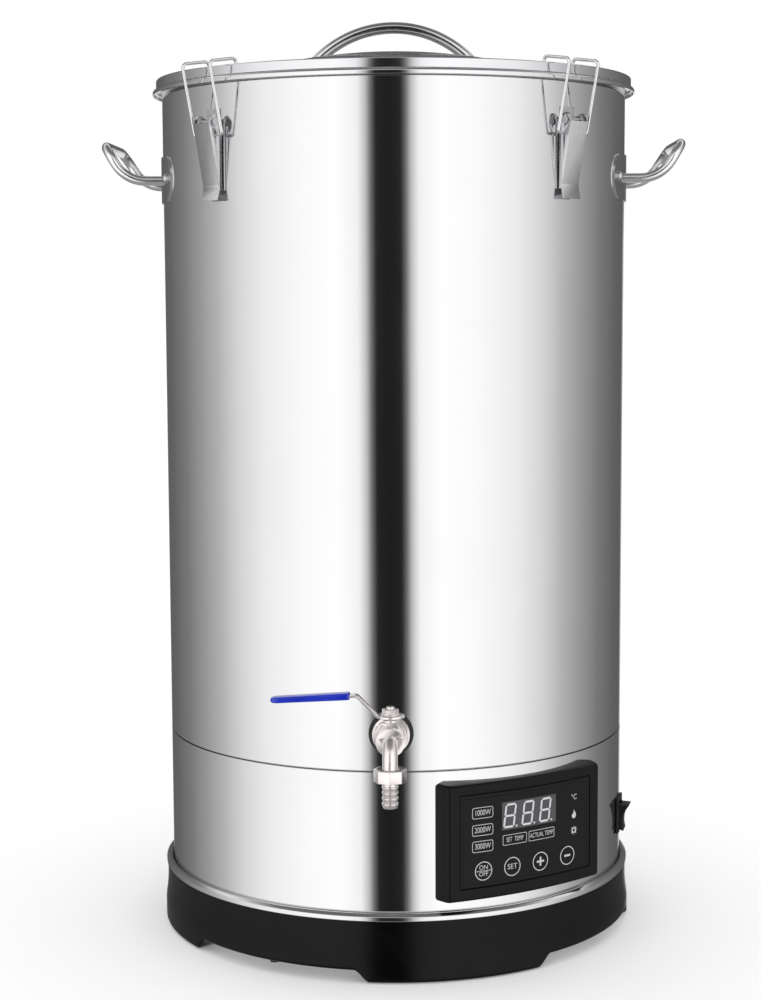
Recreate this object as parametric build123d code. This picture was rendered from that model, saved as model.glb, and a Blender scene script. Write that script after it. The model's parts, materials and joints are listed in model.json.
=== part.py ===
"""Electric all-in-one brewer: a stainless kettle on a heated base, with tap, malt pipe and clamped lid.

Millimetres, +Z up. The origin is on the kettle's axis, in the plane the feet stand on.
-Y is the front, where the tap is. A piece round the wall is drawn at the front, then turned
about Z to its own place, counted in degrees from the front towards +X.
"""

from build123d import *
from math import atan2, degrees, radians, sqrt, tan
import os

os.makedirs("parts", exist_ok=True)

# ---- driving dimensions -------------------------------------------------------------------
WALL_R = 200.0  # outside radius of kettle and skirt
SHEET = 1.0  # stainless sheet
FOOT_GAP = 10.2  # moulding above the ground between its feet
BASE_TOP = 51.5
SEAM_Z = 173.0  # where kettle and skirt meet
FLOOR_Z = 182.0  # upper face of the kettle's floor
LIP_Z = 727.0  # upper face of the kettle's rolled lip
LIP_R = 208.0
LID_R = 205.0
LID_TOP = 735.6  # top of the lid's rim
DOME_R = 490.0  # the lid's dome is part of a sphere
DOME_TOP = 759.3
FOOT_AZ = [15.3 + 90 * i for i in range(4)]
LATCH_AZ = {"front_right": 45, "rear_right": 135, "rear_left": 225, "front_left": 315}
PANEL_AZ = 33.2
SWITCH_AZ = 78.0
INLET_AZ = 180.0
SWITCH_Z = 98.0
HANDLE_Z = 649.5
TAP_Z = 205.0
TAP_THREAD_R = 10.0
SPOUT_OUT = 246.0  # spout's centre line from the kettle's axis
STEM_OUT = 223.0  # tap spindle's centre line from the kettle's axis
LEVER_PIN = (207.5, 691.0)  # latch lever's pivot: out from the axis, up
BAIL_PIN = (206.0, 680.5)  # wire bail's pivot on the lever
BAIL_WIRE = 1.3
MALT_R = 165.0
MALT_TOP = 688.0
MALT_BOTTOM = 196.0
MALT_PIN_Z = 699.0
CLEAR = 0.3  # air between pieces that move apart
RUNNING = 0.05  # radial play of a pin in its hole


# ---- ways of drawing ----------------------------------------------------------------------
def span(pair):
    """Middle and length of a pair of limits."""
    return (pair[0] + pair[1]) / 2, pair[1] - pair[0]


def block(across, out, up):
    """A box in front of the axis, by its limits across, outwards and upwards."""
    (x, dx), (n, dn), (z, dz) = span(across), span(out), span(up)
    return Pos(x, -n, z) * Box(dx, dn, dz)


def rod_up(radius, up, across=0, out=0):
    """An upright cylinder."""
    z, dz = span(up)
    return Pos(across, -out, z) * Cylinder(radius, dz)


def rod_across(radius, across, out, z):
    """A cylinder along X."""
    x, dx = span(across)
    return Pos(x, -out, z) * Rot(0, 90, 0) * Cylinder(radius, dx)


def rod_out(radius, out, z, across=0):
    """A cylinder that points out from the axis."""
    n, dn = span(out)
    return Pos(across, -n, z) * Rot(90, 0, 0) * Cylinder(radius, dn)


def hoop(outer, inner, up):
    """An upright tube about the axis."""
    return rod_up(outer, up) - rod_up(inner, up)


def sheet_ring(points, radii, thickness=SHEET):
    """Sheet turned about Z: its middle line is a filleted run of (radius, height) points."""
    line = FilletPolyline(*points, radius=radii)
    return revolve(Plane.XZ * trace(line, thickness), Axis.Z)


def turned(*outline):
    """A solid ring turned about Z from a closed outline of (radius, height) points."""
    return revolve(Plane.XZ * Polygon(*outline, align=None), Axis.Z)


def side_plate(outline, across, rounding=0.0):
    """A flat plate square to X from (out, height) points, its corners rounded."""
    face = Polygon(*[(-n, z) for n, z in outline], align=None)
    if rounding:
        face = fillet(face.vertices(), rounding)
    return extrude(Plane.YZ.offset(across[0]) * face, amount=across[1] - across[0])


def bent_rod(radius, points, radii):
    """A round rod along a filleted run of (x, y, z) points."""
    line = FilletPolyline(*points, radius=radii)
    return sweep(Plane(origin=line @ 0, z_dir=line % 0) * Circle(radius), path=line)


def hexagon(flats, up):
    """An upright hexagonal prism about Z, by its size across flats."""
    face = RegularPolygon(flats / sqrt(3), 6)
    return extrude(Plane.XY.offset(up[0]) * face, amount=up[1] - up[0])


def around(piece, places):
    """The piece repeated about the axis, one solid at each place."""
    return [Rot(0, 0, az) * piece for az in places]


def save(name, *pieces):
    """Writes one node, of one or more separate solids."""
    shape = pieces[0] if len(pieces) == 1 else Compound(list(pieces))
    shape.label = name
    export_step(shape, f"parts/{name}.step")


# ---- kettle -------------------------------------------------------------------------------
def kettle_wall():
    """Wall with a rolled lip, stepped in below the seam so that the skirt slips over it."""
    mid = WALL_R - SHEET / 2
    line = [(mid - 1.3, SEAM_Z - 12), (mid - 1.3, SEAM_Z + 0.2), (mid, SEAM_Z + 1.5),
            (mid, LIP_Z - 0.5), (LIP_R - 0.5, LIP_Z - 0.5), (LIP_R - 0.5, LIP_Z - 4.3)]
    wall = sheet_ring(line, [0.5, 0.5, 2.2, 1.6])
    return wall - rod_out(TAP_THREAD_R + 0.2, (WALL_R - 5, WALL_R + 5), TAP_Z)


save("vessel_shell", kettle_wall())
inner = WALL_R - SHEET
save("vessel_floor", sheet_ring([(0, FLOOR_Z - 0.6), (inner - 0.65, FLOOR_Z - 0.6),
                                 (inner - 0.65, FLOOR_Z - 7)], [2.5], 1.2))

# ---- heating, under the floor ---------------------------------------------------------------
UNDER_FLOOR = FLOOR_Z - 1.2
SPREADER = 4.0
TUBE_R = 4.0
SPREADER_Z = UNDER_FLOOR - SPREADER
ELEMENTS = {"heating_element_inner": 85.0, "heating_element_outer": 135.0}
COLD_GAP = 16.0  # half the distance between an element's two cold ends, along its ring


def cold_ends(radius):
    """How far the two ends of an element's ring are turned about the axis."""
    return 0, -2 * degrees(COLD_GAP / radius)


def element(radius):
    """A tubular heater: most of a circle, its two cold ends turned down to their terminals."""
    z = SPREADER_Z - TUBE_R
    gap = 2 * degrees(COLD_GAP / radius)
    ring = Pos(0, 0, z) * Torus(radius, TUBE_R, major_angle=360 - gap)
    for turn in cold_ends(radius):
        ring += Rot(0, 0, turn) * Pos(radius, 0, z - 8) * Cylinder(TUBE_R, 16)
        ring += Rot(0, 0, turn) * Pos(radius, 0, z) * Sphere(TUBE_R)
    return ring


PROBE_R = 5.0
save("heat_spreader_plate", hoop(165, PROBE_R + 0.2, (SPREADER_Z, UNDER_FLOOR)))
for name, radius in ELEMENTS.items():
    save(name, element(radius))
save("temperature_probe", rod_up(PROBE_R, (UNDER_FLOOR - 22, UNDER_FLOOR))
     + rod_up(8, (UNDER_FLOOR - 30, UNDER_FLOOR - 22)))
save("thermal_cutout", rod_up(9, (SPREADER_Z - 9, SPREADER_Z), 40, 20)
     + block((28, 52), (16, 24), (SPREADER_Z - 1, SPREADER_Z)))
SHIELD_Z = 162.0
SHIELD_R = WALL_R - 3.4
shield = sheet_ring([(0, SHIELD_Z), (SHIELD_R, SHIELD_Z), (SHIELD_R, SHIELD_Z + 8)], [2.0])
shield -= rod_up(10, (SHIELD_Z - 2, SHIELD_Z + 2))
for radius in ELEMENTS.values():
    for turn in cold_ends(radius):
        shield -= Rot(0, 0, turn) * Pos(radius, 0, SHIELD_Z) * Cylinder(TUBE_R + 2, 4)
save("heat_shield", shield)

# ---- skirt and base -----------------------------------------------------------------------
PANEL_HALF = 71.0  # half width of the hole for the panel's box
PANEL_HOLE = (71.5, 158.0)
skirt = hoop(WALL_R, inner, (BASE_TOP - 14, SEAM_Z - 0.3))
skirt -= Rot(0, 0, PANEL_AZ) * block((-PANEL_HALF, PANEL_HALF), (120, 230), PANEL_HOLE)
skirt -= Rot(0, 0, SWITCH_AZ) * block((-11.2, 11.2), (180, 220), (SWITCH_Z - 14.2, SWITCH_Z + 14.2))
skirt -= Rot(0, 0, INLET_AZ) * block((-15.2, 15.2), (180, 220), (SWITCH_Z - 12.2, SWITCH_Z + 12.2))
for side in (-20, 20):
    skirt -= Rot(0, 0, INLET_AZ) * rod_out(2.1, (180, 220), SWITCH_Z, side)
save("lower_skirt", skirt)
BEAD_R = 206.2
BEAD_TOP = BASE_TOP + 6.0
bead = [Line((WALL_R, BASE_TOP), (BEAD_R - 1, BASE_TOP)),
        ThreePointArc((BEAD_R - 1, BASE_TOP), (BEAD_R - 0.3, BASE_TOP + 2.8), (BEAD_R - 3.2, BEAD_TOP)),
        ThreePointArc((BEAD_R - 3.2, BEAD_TOP), (BEAD_R - 5.0, BEAD_TOP - 0.3), (WALL_R, BEAD_TOP - 1.6)),
        Line((WALL_R, BEAD_TOP - 1.6), (WALL_R, BASE_TOP))]
save("skirt_bead_ring", revolve(Plane.XZ * make_face(bead), Axis.Z))


def moulding_ring(bottom):
    """The moulding's section, waisted outside, carried down to a given height, turned about Z."""
    outer = [ThreePointArc((205.6, BASE_TOP), (205.4, 38), (207.2, 20)),
             Line((207.2, 20), (206.9, bottom + 3)),
             ThreePointArc((206.9, bottom + 3), (206.0, bottom + 0.9), (203.9, bottom)),
             Polyline((203.9, bottom), (192, bottom), (192, BASE_TOP - 15), (WALL_R, BASE_TOP - 15),
                      (WALL_R, BASE_TOP), (205.6, BASE_TOP))]
    return revolve(Plane.XZ * make_face(outer), Axis.Z)


PAD_Z = 1.6  # foot of the moulding above the ground, on its rubber pad
foot_half = [(96, 30), (86, FOOT_GAP + 3), (78, FOOT_GAP - 2.5), (71.5, PAD_Z - 1)]
foot_outline = Polygon(*foot_half, *[(-x, z) for x, z in reversed(foot_half)], align=None)
foot_outline = fillet(foot_outline.vertices().group_by(Axis.Y)[1:3], 4.0)
foot_zone = extrude(Plane.XZ.offset(150) * foot_outline, amount=60)
base = moulding_ring(FOOT_GAP)
cover_screws = around(rod_up(2.2, (0, 40), 0, 196.5), [FOOT_AZ[0] + 45 + 90 * i for i in range(4)])
for az in FOOT_AZ:
    base += moulding_ring(PAD_Z) & (Rot(0, 0, az) * foot_zone)
for hole in cover_screws:
    base -= hole
save("base_moulding", base)
pad_zone = extrude(Plane.XZ.offset(150) * Pos(0, 5) * Rectangle(128, 20), amount=60)
save("rubber_feet", *[hoop(203, 194, (0, PAD_Z)) & (Rot(0, 0, az) * pad_zone) for az in FOOT_AZ])
cover = hoop(201.5, 6, (FOOT_GAP - 1.2, FOOT_GAP))
for az in FOOT_AZ:
    cover -= hoop(210, 191.5, (0, 20)) & (Rot(0, 0, az) * block((-84, 84), (140, 230), (0, 20)))
for row in range(-4, 5):
    cover -= block((-60, 60), (row * 16 - 2.5, row * 16 + 2.5), (0, 20))
for hole in cover_screws:
    cover -= hole
save("base_cover_plate", cover)


def pan_screw(length):
    """A cross-head screw pointing up +Z from its head's underside at z 0."""
    head = rod_up(3.8, (-2.2, 0))
    cross = Box(4.4, 1, 2) + Box(1, 4.4, 2)
    return head + rod_up(1.9, (0, length)) - Pos(0, 0, -2.2) * cross


screws = around(Pos(0, -196.5, FOOT_GAP - 1.2) * pan_screw(18), [FOOT_AZ[0] + 45 + 90 * i for i in range(4)])
INLET_FACE = WALL_R + 2.6
inlet_screw = Rot(-90, 0, 0) * Rot(0, 0, 45) * pan_screw(9)
screws += [Rot(0, 0, INLET_AZ) * Pos(side, -INLET_FACE, SWITCH_Z) * inlet_screw for side in (-20, 20)]
save("screws", *screws)

# ---- control panel ------------------------------------------------------------------------
FACE_OUT = 206.0  # panel face at its middle, from the kettle's axis
FACE_R = 400.0  # the face is bowed less than the wall
FACE_HALF = 75.5
PANEL_Z = (66.5, 163.0)
WINDOW_HALF = 65.0
WINDOW_Z = (77.0, 154.0)


def bowed(half, radius_cut, up, flank=0.0):
    """A slab behind the panel's bowed face, set back from it, and clear of the wall behind."""
    bow = FACE_R - radius_cut
    depth = FACE_OUT - radius_cut - (bow - sqrt(bow**2 - half**2))
    edge = WALL_R - (WALL_R - sqrt(WALL_R**2 - (half + flank) ** 2))
    mid = FACE_OUT - radius_cut
    outline = [ThreePointArc((-half, -depth), (0, -mid), (half, -depth)),
               Line((half, -depth), (half + flank, -edge)),
               ThreePointArc((half + flank, -edge), (0, -WALL_R), (-half - flank, -edge)),
               Line((-half - flank, -edge), (-half, -depth))]
    return extrude(Plane.XY.offset(up[0]) * make_face(outline), amount=up[1] - up[0])


WINDOW_DEPTH = 2.6
bezel = bowed(FACE_HALF, 0.0, PANEL_Z, 3.0)
bezel -= bowed(WINDOW_HALF, 0.0, WINDOW_Z)
bezel += bowed(WINDOW_HALF + 1, WINDOW_DEPTH, (WINDOW_Z[0] - 1, WINDOW_Z[1] + 1))
bezel -= block((-62, 62), (120, 230), (WINDOW_Z[0] + 3, WINDOW_Z[1] - 3))


def panel_box(gap, out):
    """The box behind the face, smaller than its hole in the skirt by a gap all round."""
    return block((gap - PANEL_HALF, PANEL_HALF - gap), out, (PANEL_HOLE[0] + gap, PANEL_HOLE[1] - gap))


bezel += (panel_box(0.4, (160, 210)) & rod_up(WALL_R, PANEL_Z)) - panel_box(3, (150, 230))
save("panel_bezel", Rot(0, 0, PANEL_AZ) * bezel)
window = bowed(WINDOW_HALF - 0.1, 1.1, (WINDOW_Z[0] + 0.1, WINDOW_Z[1] - 0.1))
window -= bowed(WINDOW_HALF + 1, WINDOW_DEPTH, (WINDOW_Z[0] - 2, WINDOW_Z[1] + 2))
window -= rod_up(WALL_R + 0.001, (60, 170))
save("panel_window", Rot(0, 0, PANEL_AZ) * window)
BOARD_OUT = (166.0, 167.6)
board = block((-64, 64), BOARD_OUT, (78, 152))
for x in (-59, 59):
    for z in (83, 147):
        board -= rod_out(1.7, (160, 170), z, x)
save("control_board", Rot(0, 0, PANEL_AZ) * board)
digits = block((-27, 19), (BOARD_OUT[1], 182), (118, 146))
save("display_module", Rot(0, 0, PANEL_AZ) * digits)

# ---- power electronics on the base ----------------------------------------------------------
power = Rot(0, 0, 290) * block((-55, 55), (60, 130), (40, 41.6))
posts = [Rot(0, 0, 290) * rod_up(3, (FOOT_GAP, 40), x, n) for x in (-50, 50) for n in (66, 124)]
relays = [Rot(0, 0, 290) * block((x, x + 20), (70, 86), (41.6, 58)) for x in (-45, -15)]
for piece in posts + relays:
    power += piece
save("power_board", power)
sink = block((22, 52), (90, 128), (41.6, 45))
for i in range(6):
    sink += block((22 + i * 5.6, 24 + i * 5.6), (90, 128), (45, 78))
save("heat_sink", Rot(0, 0, 290) * sink)
strip = block((-30, 30), (120, 142), (FOOT_GAP, FOOT_GAP + 18))
for i in range(5):
    strip -= rod_up(3, (FOOT_GAP + 12, FOOT_GAP + 30), -24 + 12 * i, 131)
save("terminal_block", Rot(0, 0, 150) * strip)


# ---- rocker switch ------------------------------------------------------------------------
frame_outer = block((-12.75, 12.75), (WALL_R, WALL_R + 2.4), (SWITCH_Z - 15.5, SWITCH_Z + 15.5))
frame_outer = fillet(frame_outer.faces().sort_by(Axis.Y)[0].edges(), 1.2)
frame_outer += block((-10.8, 10.8), (172, WALL_R), (SWITCH_Z - 13.8, SWITCH_Z + 13.8))
frame_outer -= block((-9.2, 9.2), (186, 230), (SWITCH_Z - 12.4, SWITCH_Z + 12.4))
ROCKER_PIVOT = 197.0
ROCKER_PIN = 1.6
frame_outer -= rod_across(ROCKER_PIN + RUNNING, (-10.2, 10.2), ROCKER_PIVOT, SWITCH_Z)
terminals = [block((x - 3.2, x + 3.2), (160, 172), (z - 0.4, z + 0.4))
             for x in (-5, 5) for z in (SWITCH_Z - 8, SWITCH_Z + 8)]
for tab in terminals:
    frame_outer += tab
save("rocker_frame", Rot(0, 0, SWITCH_AZ) * frame_outer)
ROCKER_HALF = 11.6
ROCKER_TILT = 24.0


def rocker_key():
    """A two-armed key with a hollowed face, tilted about its pivot so that its upper arm stands out."""
    level = 207.3
    face = ThreePointArc((-level - 1.4, SWITCH_Z - ROCKER_HALF), (-level + 1.6, SWITCH_Z),
                         (-level - 1.4, SWITCH_Z + ROCKER_HALF))
    back = Polyline((-level - 1.4, SWITCH_Z + ROCKER_HALF), (-ROCKER_PIVOT - 2, SWITCH_Z + ROCKER_HALF - 1.6),
                    (-ROCKER_PIVOT + 3.5, SWITCH_Z + 3), (-ROCKER_PIVOT + 3.5, SWITCH_Z - 3),
                    (-ROCKER_PIVOT - 2, SWITCH_Z - ROCKER_HALF + 1.6), (-level - 1.4, SWITCH_Z - ROCKER_HALF))
    key = extrude(Plane.YZ.offset(-8.9) * make_face([face, back]), amount=17.8)
    key += rod_across(ROCKER_PIN, (-10, 10), ROCKER_PIVOT, SWITCH_Z)
    tilt = Pos(0, -ROCKER_PIVOT, SWITCH_Z) * Rot(ROCKER_TILT / 2, 0, 0) * Pos(0, ROCKER_PIVOT, -SWITCH_Z)
    return tilt * key


save("rocker", Rot(0, 0, SWITCH_AZ) * rocker_key())

# ---- mains inlet --------------------------------------------------------------------------
inlet = block((-25, 25), (WALL_R, INLET_FACE), (SWITCH_Z - 14, SWITCH_Z + 14))
inlet = fillet(inlet.edges().filter_by(Axis.Y), 4)
inlet += block((-15, 15), (172, WALL_R), (SWITCH_Z - 12, SWITCH_Z + 12))
inlet -= block((-12.5, 12.5), (182, 230), (SWITCH_Z - 9.5, SWITCH_Z + 9.5))
PIN_PLACES = [(-8, SWITCH_Z - 3), (0, SWITCH_Z + 3), (8, SWITCH_Z - 3)]
for side in (-20, 20):
    inlet -= rod_out(2.0, (190, 220), SWITCH_Z, side)
for x, z in PIN_PLACES:
    inlet -= block((x - 1, x + 1), (160, 190), (z - 3, z + 3))
save("mains_inlet_housing", Rot(0, 0, INLET_AZ) * inlet)
save("mains_inlet_pins", *[Rot(0, 0, INLET_AZ) * block((x - 1, x + 1), (160, 198.5), (z - 3, z + 3))
                           for x, z in PIN_PLACES])

# ---- carrying handles ---------------------------------------------------------------------
HANDLE_ROD = 4.1
LEG = 55.0
GRIP_OUT = 244.5
GRIP_Z = HANDLE_Z + 29.5
LEG_BEND = 226.0  # where a leg turns upwards, from the kettle's axis
PLATE = 1.6
plate_outline = SlotOverall(160, 39)
plate = extrude(Plane.XZ.offset(150) * Pos(0, HANDLE_Z + 1) * plate_outline, amount=70)
plate &= hoop(WALL_R + PLATE, WALL_R, (HANDLE_Z - 30, HANDLE_Z + 30))
LEG_FOOT = sqrt((WALL_R + PLATE) ** 2 - (LEG + HANDLE_ROD) ** 2) - 1.5
leg_line = [(-LEG, -LEG_FOOT, HANDLE_Z), (-LEG, -LEG_BEND, HANDLE_Z), (-LEG, -GRIP_OUT, GRIP_Z)]
handle = bent_rod(HANDLE_ROD, leg_line + [(-x, y, z) for x, y, z in reversed(leg_line)], [30, 16, 16, 30])
handle -= rod_up(WALL_R + PLATE, (HANDLE_Z - 30, HANDLE_Z + 30))
RIVET_TURN = 20.0
rivet_head = Sphere(4.2) & Pos(0, 0, 2) * Box(12, 12, 4)
rivet = Pos(0, -WALL_R - PLATE, HANDLE_Z + 1) * Rot(90, 0, 0) * rivet_head
save("handle_plates", *around(plate, (90, 270)))
save("handle_right", Rot(0, 0, 90) * handle)
save("handle_left", Rot(0, 0, 270) * handle)
rivet -= rod_up(WALL_R + PLATE, (HANDLE_Z - 30, HANDLE_Z + 30))
rivet_places = [side + turn for side in (90, 270) for turn in (-RIVET_TURN, RIVET_TURN)]
save("handle_rivets", *around(rivet, rivet_places))

# ---- tap ----------------------------------------------------------------------------------
BORE = 4.5
BALL_R = 8.0
cavity = Pos(0, -STEM_OUT, TAP_Z) * Sphere(BALL_R + 0.1)
body = rod_out(TAP_THREAD_R, (180, 203.5), TAP_Z) + rod_out(15.0, (202.0, 207.5), TAP_Z)
body += rod_out(12.6, (207.5, 212), TAP_Z) + rod_out(11.2, (212, 236), TAP_Z)
body += rod_up(6.2, (TAP_Z, 221.0), 0, STEM_OUT)
body += block((-5.7, 5.7), (STEM_OUT - 5, STEM_OUT + 7.4), (TAP_Z, 219.5))
body -= cavity
body -= rod_out(BORE, (170, 240), TAP_Z)
body -= rod_up(3.0 + RUNNING, (TAP_Z, 230), 0, STEM_OUT)
save("valve_body", body)
seal = rod_out(18, (WALL_R, 202.0), TAP_Z) - rod_out(TAP_THREAD_R, (190, 210), TAP_Z)
save("tap_washer", seal - rod_up(WALL_R, (180, 230)))
nut_face = RegularPolygon(16.5, 6)
locknut = extrude(Plane.XZ.offset(188) * Pos(0, TAP_Z) * nut_face, amount=8)
save("tap_locknut", locknut - rod_out(TAP_THREAD_R, (180, 210), TAP_Z))
ball = Pos(0, -STEM_OUT, TAP_Z) * (Sphere(BALL_R) - Rot(0, 90, 0) * Cylinder(BORE, 20))
ball -= block((-1.5, 1.5), (STEM_OUT - 9, STEM_OUT + 9), (TAP_Z + 5.5, TAP_Z + 9))
save("valve_ball", ball)
tongue = block((-1.4, 1.4), (STEM_OUT - 2.6, STEM_OUT + 2.6), (TAP_Z + 5.7, TAP_Z + 9))
save("valve_stem", rod_up(3.0, (TAP_Z + 8.4, 231.6), 0, STEM_OUT) + tongue)
PLATE_Z = 223.0  # lever plate's underside
LEVER_T = 1.8
stem_hole = rod_up(3.0, (200, 240), 0, STEM_OUT)
save("stem_nut", Pos(0, -STEM_OUT, 0) * (hexagon(11.5, (PLATE_Z + LEVER_T, PLATE_Z + 6.6))
                                         + rod_up(7.0, (PLATE_Z + LEVER_T, PLATE_Z + LEVER_T + 1)))
     - rod_up(3.0, (200, 240), 0, STEM_OUT))
SLEEVE_X = (-94.5, -31.5)
ARM_ROOT = (-26.5, 240.4)  # where the strip levels off, across and up
ARM_TIP = (-92.0, 237.0)
ARM_WIDTH = 10.0
lever_line = FilletPolyline((0, PLATE_Z + 0.9), (-10.5, PLATE_Z + 0.9), ARM_ROOT, ARM_TIP, radius=[4, 4])
lever = extrude(Plane.XZ.offset(STEM_OUT - ARM_WIDTH / 2) * trace(lever_line, LEVER_T), amount=ARM_WIDTH)
lever += rod_up(11.0, (PLATE_Z, PLATE_Z + LEVER_T), 0, STEM_OUT)
lever -= rod_up(3.0, (200, 240), 0, STEM_OUT)
save("valve_lever", lever)
sleeve_mid, sleeve_length = span(SLEEVE_X)
fall = degrees(atan2(ARM_ROOT[1] - ARM_TIP[1], ARM_ROOT[0] - ARM_TIP[0]))
sleeve_z = ARM_ROOT[1] - (ARM_ROOT[0] - sleeve_mid) * tan(radians(fall))
sleeve = Pos(sleeve_mid, -STEM_OUT, sleeve_z) * Rot(0, -fall, 0) * Box(sleeve_length, ARM_WIDTH + 2, 5.6)
sleeve = fillet(sleeve.edges(), 2.3)
save("lever_sleeve", sleeve - lever)

# ---- spout, union nut and hose tail -------------------------------------------------------
PIPE_R = 6.0
NUT_Z = (177.2, 187.0)
NUT_CORNER = 13.0  # the eight-sided nut's corners, from its own axis
spout_line = [(0, -231, TAP_Z), (0, -SPOUT_OUT, TAP_Z), (0, -SPOUT_OUT, NUT_Z[1] - 1)]
spout = bent_rod(PIPE_R, spout_line, [12])
spout -= rod_out(PIPE_R + 3, (220, 236), TAP_Z)
spout += rod_up(8.4, (NUT_Z[0] + 4.4, NUT_Z[1] - 0.6), 0, SPOUT_OUT)
spout -= bent_rod(BORE, [(0, -229, TAP_Z), (0, -SPOUT_OUT, TAP_Z), (0, -SPOUT_OUT, 170)], [12])
save("spout_elbow", spout)
NECK = 5.9
octagon = extrude(Plane.XY.offset(NUT_Z[0]) * RegularPolygon(NUT_CORNER, 8), amount=NUT_Z[1] - NUT_Z[0])
nut = Pos(0, -SPOUT_OUT, 0) * octagon
nut -= rod_up(8.4, (NUT_Z[0] + 1.0, NUT_Z[1] - 0.6), 0, SPOUT_OUT)
nut -= rod_up(NECK, (NUT_Z[0] - 1, NUT_Z[0] + 2), 0, SPOUT_OUT)
nut -= rod_up(PIPE_R, (NUT_Z[1] - 2, NUT_Z[1] + 1), 0, SPOUT_OUT)
save("union_nut", nut)
TAIL_CREST = 6.5
TAIL_PITCH = 4.4
TAIL_TOP = 173.6
tail = rod_up(8.3, (NUT_Z[0] + 1.0, NUT_Z[0] + 4.4)) + rod_up(NECK, (TAIL_TOP - 1, NUT_Z[0] + 2))
for ridge in range(4):
    top = TAIL_TOP - ridge * TAIL_PITCH
    foot = top - TAIL_PITCH
    tail += turned((0, top), (TAIL_CREST, top), (TAIL_CREST, top - 0.8), (5.3, foot), (0, foot))
tail -= rod_up(BORE - 0.3, (140, 190))
save("hose_barb", Pos(0, -SPOUT_OUT, 0) * tail)

# ---- lid ----------------------------------------------------------------------------------
LID_SHEET = 0.9
GUTTER_Z = 732.2


def dome_z(radius):
    """Height of the dome's outer face at a radius."""
    return DOME_TOP - DOME_R + sqrt(DOME_R**2 - radius**2)


def lid_pan():
    """Pressed lid: rim turned down over the lip, shallow gutter for the bails, low dome."""
    half = LID_SHEET / 2
    rim = sheet_ring([(LID_R - half, LIP_Z + 0.8), (LID_R - half, LID_TOP - half), (202.6, LID_TOP - half),
                      (200.6, GUTTER_Z - half), (158.2, GUTTER_Z - half), (152.0, dome_z(152) - half)],
                     [1.4, 0.8, 1.2, 3.0], LID_SHEET)
    edge = 152.3
    low = dome_z(edge)
    middle = dome_z(edge / 2)
    outline = [ThreePointArc((0, DOME_TOP), (edge / 2, middle), (edge, low)),
               Line((edge, low), (edge, low - LID_SHEET)),
               ThreePointArc((edge, low - LID_SHEET), (edge / 2, middle - LID_SHEET), (0, DOME_TOP - LID_SHEET)),
               Line((0, DOME_TOP - LID_SHEET), (0, DOME_TOP))]
    return rim + revolve(Plane.XZ * make_face(outline), Axis.Z)


save("lid_pan", lid_pan())
save("lid_gasket", hoop(203.9, 200.9, (LIP_Z + CLEAR, GUTTER_Z - LID_SHEET)))
ARC_R = 93.0
ARC_Z = 689.1
GRIP_R = 5.0
PAD_X = 66.0
PAD_T = 2.0
grip = Pos(0, 0, ARC_Z) * Rot(90, 0, 0) * Torus(ARC_R, GRIP_R)
dome_solid = Pos(0, 0, DOME_TOP - DOME_R) * Sphere(DOME_R)
pad_shell = Pos(0, 0, DOME_TOP - DOME_R) * Sphere(DOME_R + PAD_T)
grip = (grip & Pos(0, 0, 800) * Box(240, 40, 120)) - pad_shell
save("lid_handle", grip)
save("lid_handle_pads", *[(rod_up(13, (740, 765), side * (PAD_X + 2)) & pad_shell) - dome_solid
                          for side in (-1, 1)])

# ---- malt pipe ----------------------------------------------------------------------------
PIPE_FOOT = MALT_BOTTOM + 4.0  # the wall stands on the upturned edge of the foot ring
foot_ring = sheet_ring([(MALT_R - 17, MALT_BOTTOM + 0.5), (MALT_R - 0.5, MALT_BOTTOM + 0.5),
                        (MALT_R - 0.5, PIPE_FOOT)], [2.0])
for az in (45, 135, 225, 315):
    foot_ring += Rot(0, 0, az) * block((-12, 12), (MALT_R - 12, MALT_R - 4), (FLOOR_Z + CLEAR, MALT_BOTTOM + 0.6))
save("malt_foot_ring", foot_ring)
malt = sheet_ring([(MALT_R - 0.5, PIPE_FOOT), (MALT_R - 0.5, MALT_TOP - 0.5), (MALT_R + 5, MALT_TOP - 0.5)], [2.5])
EAR = (MALT_R - 3.4, MALT_R - 0.6)
for side in (-1, 1):
    ear = Plane.YZ.offset(EAR[0]) * Pos(0, MALT_PIN_Z - 10) * SlotOverall(38, 16, rotation=90)
    plate = extrude(ear, amount=EAR[1] - EAR[0])
    malt += plate if side > 0 else mirror(plate, Plane.YZ)
malt -= rod_across(3.0 + RUNNING, (-180, 180), 0, MALT_PIN_Z)
save("malt_pipe_shell", malt)


def screen(radius, up, hole, rings):
    """A round plate drilled with rings of holes, six more in each ring than in the last."""
    disc = rod_up(radius, up)
    holes = []
    for ring in range(1, rings + 1):
        count = 6 * ring
        place = ring * (radius - 8) / rings - hole
        drill = rod_up(hole, (up[0] - 1, up[1] + 1), 0, place)
        holes += around(drill, [360 * i / count for i in range(count)])
    return disc - Compound(holes)


SCREEN = (MALT_BOTTOM + 1.2, MALT_BOTTOM + 2.7)
save("malt_bottom_screen", screen(160.5, SCREEN, 3.5, 6))
TOP_SCREEN = (640.0, 641.5)
knob = rod_up(4, (TOP_SCREEN[1], TOP_SCREEN[1] + 22)) + rod_up(14, (TOP_SCREEN[1] + 22, TOP_SCREEN[1] + 27))
save("malt_top_screen", screen(162.0, TOP_SCREEN, 3.5, 6) + knob)
BAIL_SIDE = 152.0
BAIL_REACH = 140.0
bail_half = [(MALT_R + 3, 0), (BAIL_SIDE, 0), (BAIL_SIDE, -70), (70, -BAIL_REACH)]
bail_line = bail_half + [(-x, y) for x, y in reversed(bail_half)]
save("malt_bail", bent_rod(3.0, [(x, y, MALT_PIN_Z) for x, y in bail_line], [6, 50, 40, 40, 50, 6]))

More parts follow.
